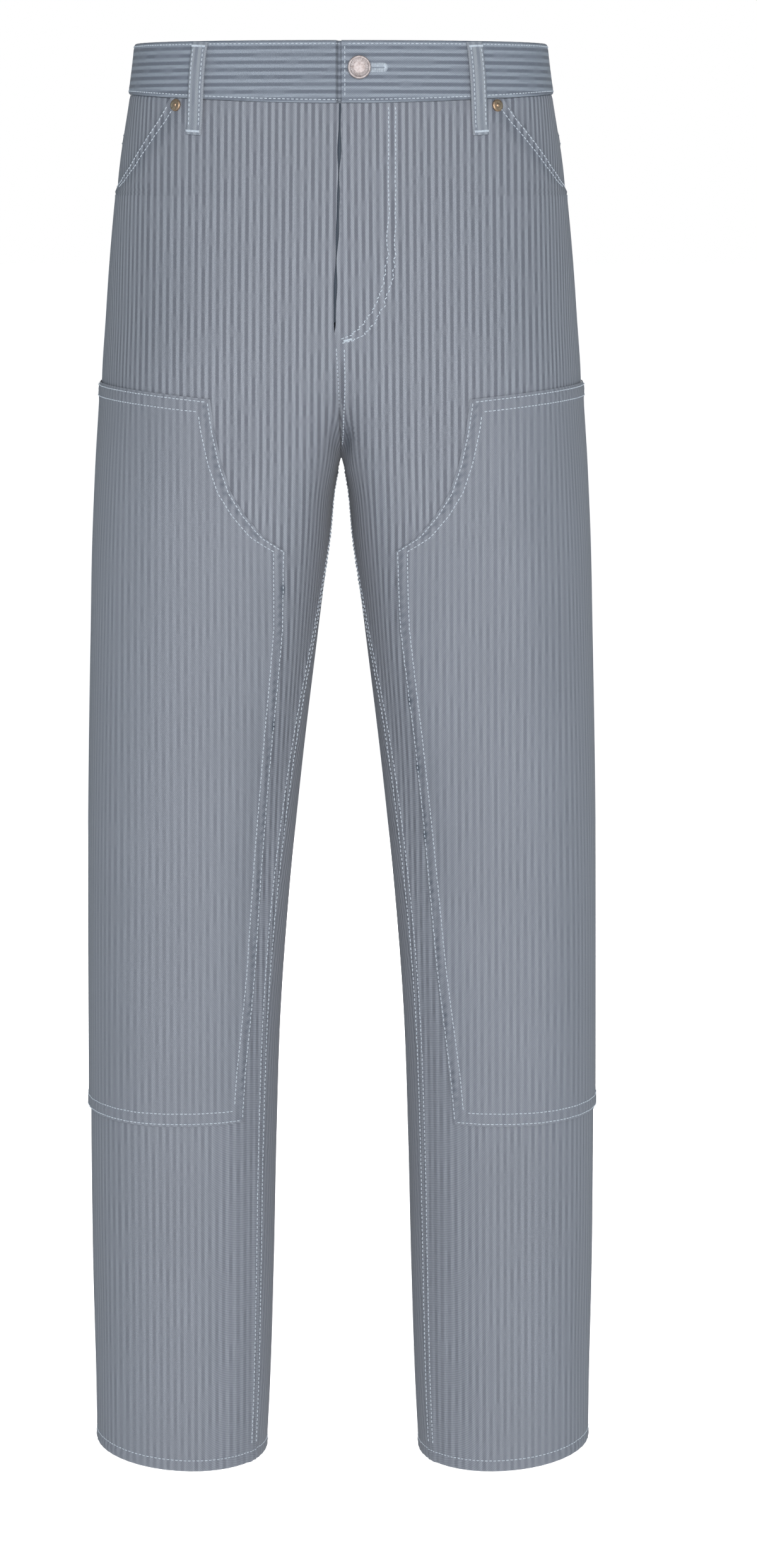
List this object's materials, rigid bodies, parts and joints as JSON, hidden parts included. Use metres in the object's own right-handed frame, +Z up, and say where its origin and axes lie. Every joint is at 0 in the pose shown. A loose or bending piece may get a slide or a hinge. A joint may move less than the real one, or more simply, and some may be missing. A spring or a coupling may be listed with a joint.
{
  "type": "jeans",
  "caption": "Straight work jeans in fine indigo and white stripe twill, with reinforced knee patches, slanted front pockets and a button waistband, in worn form",
  "frame": {"origin": "middle of the waist opening, level with the top of the waistband, where the wearer's waist holds the jeans", "axes": "+Z up along the body, -Y out of the front, +X to the wearer's left"},
  "size_m": [0.3914, 0.2693, 1.082],
  "materials": {
    "striped_twill": "fine indigo and white vertical stripe cotton twill, dry and matt",
    "striped_twill_band": "the same twill with its stripe running round the waistband",
    "loop_twill": "folded striped twill strip with edge stitching",
    "thread": "pale cotton topstitching thread",
    "button_metal": "pale brushed metal tack button",
    "copper": "worn copper-coloured rivets"
  },
  "bodies": {
    "root": {"waistband": "striped_twill_band", "front_left": "striped_twill", "front_right": "striped_twill", "back_left": "striped_twill", "back_right": "striped_twill", "yoke_left": "striped_twill", "yoke_right": "striped_twill", "knee_patch_left": "striped_twill", "knee_patch_right": "striped_twill", "pocket_facing_left": "striped_twill", "pocket_facing_right": "striped_twill", "back_pocket_left": "striped_twill", "back_pocket_right": "striped_twill", "fly_shield": "striped_twill", "belt_loop_front_left": "loop_twill", "belt_loop_front_right": "loop_twill", "belt_loop_back_left": "loop_twill", "belt_loop_back_right": "loop_twill", "belt_loop_centre_back": "loop_twill", "button": "button_metal", "rivet_left": "copper", "rivet_right": "copper"}
  },
  "joints": []
}
